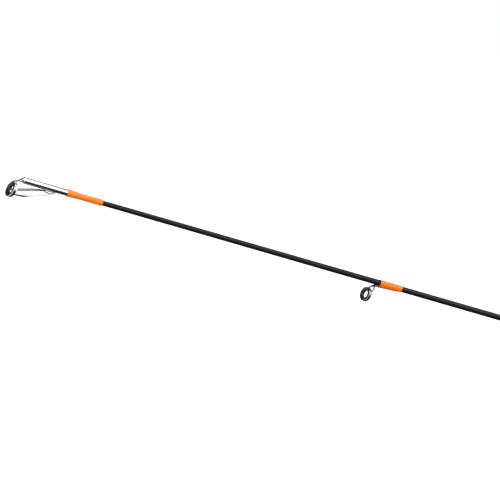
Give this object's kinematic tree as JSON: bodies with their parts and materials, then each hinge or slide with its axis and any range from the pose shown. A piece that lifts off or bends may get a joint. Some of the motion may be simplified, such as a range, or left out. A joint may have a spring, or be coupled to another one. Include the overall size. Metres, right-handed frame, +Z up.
{
  "type": "ice fishing rod",
  "caption": "Short one-piece fishing rod: dark tapered blank, wrapped line guides and tip ring, foam split grip, reel seat with a sliding hood and lock nut.",
  "frame": {"origin": "centre of the flat butt face, on the rod's axis", "axes": "+X along the blank to the tip, +Z up, guides and reel on the -Z side"},
  "size_m": [0.7654, 0.0236, 0.0303],
  "materials": {
    "blank": "satin clear over dark carbon",
    "chrome": "polished",
    "guide_steel": "smoked, polished",
    "ring_ceramic": "polished ceramic",
    "thread": "wound nylon thread",
    "clear_coat": "clear gloss",
    "trim_metal": "anodised orange",
    "grip_foam": "closed-cell foam",
    "seat_plastic": "satin, glass filled",
    "nut_plastic": "satin",
    "cushion": "soft",
    "arbor": "rigid foam",
    "cap_rubber": "moulded"
  },
  "bodies": {
    "rod": {"blank": "blank", "tip_tube": "chrome", "tip_frame": "chrome", "tip_ring": "ring_ceramic", "tip_wrap": "thread", "tip_coat": "clear_coat", "handle_wrap": "thread", "handle_coat": "clear_coat", "winding_check": "trim_metal", "foregrip": "grip_foam", "foregrip_trim": "trim_metal", "reel_seat": "seat_plastic", "fixed_hood_liner": "cushion", "rear_arbor": "arbor", "front_arbor": "arbor", "seat_trim": "trim_metal", "rear_trim": "trim_metal", "rear_grip": "grip_foam", "butt_trim": "trim_metal", "butt_cap": "cap_rubber", "first_guide_frame": "guide_steel", "first_guide_ring": "ring_ceramic", "first_guide_wrap": "thread", "first_guide_coat": "clear_coat", "second_guide_frame": "guide_steel", "second_guide_ring": "ring_ceramic", "second_guide_wrap": "thread", "second_guide_coat": "clear_coat", "third_guide_frame": "guide_steel", "third_guide_ring": "ring_ceramic", "third_guide_wrap": "thread", "third_guide_coat": "clear_coat"},
    "hood": {"moving_hood": "seat_plastic", "moving_hood_liner": "cushion"},
    "nut": {"lock_nut": "nut_plastic"}
  },
  "joints": [
    {"name": "hood_slide", "type": "slide", "parent": "rod", "child": "hood", "axis": [1, 0, 0], "range_m": [0, 0.014]},
    {"name": "nut_turn", "type": "hinge", "parent": "hood", "child": "nut", "pos_m": [0.1, 0, 0], "axis": [1, 0, 0], "range_deg": [0, 2521]}
  ],
  "couplings": [
    {"joint": "nut_turn", "follows": "hood_slide", "rad_per_m": 3141.6}
  ]
}
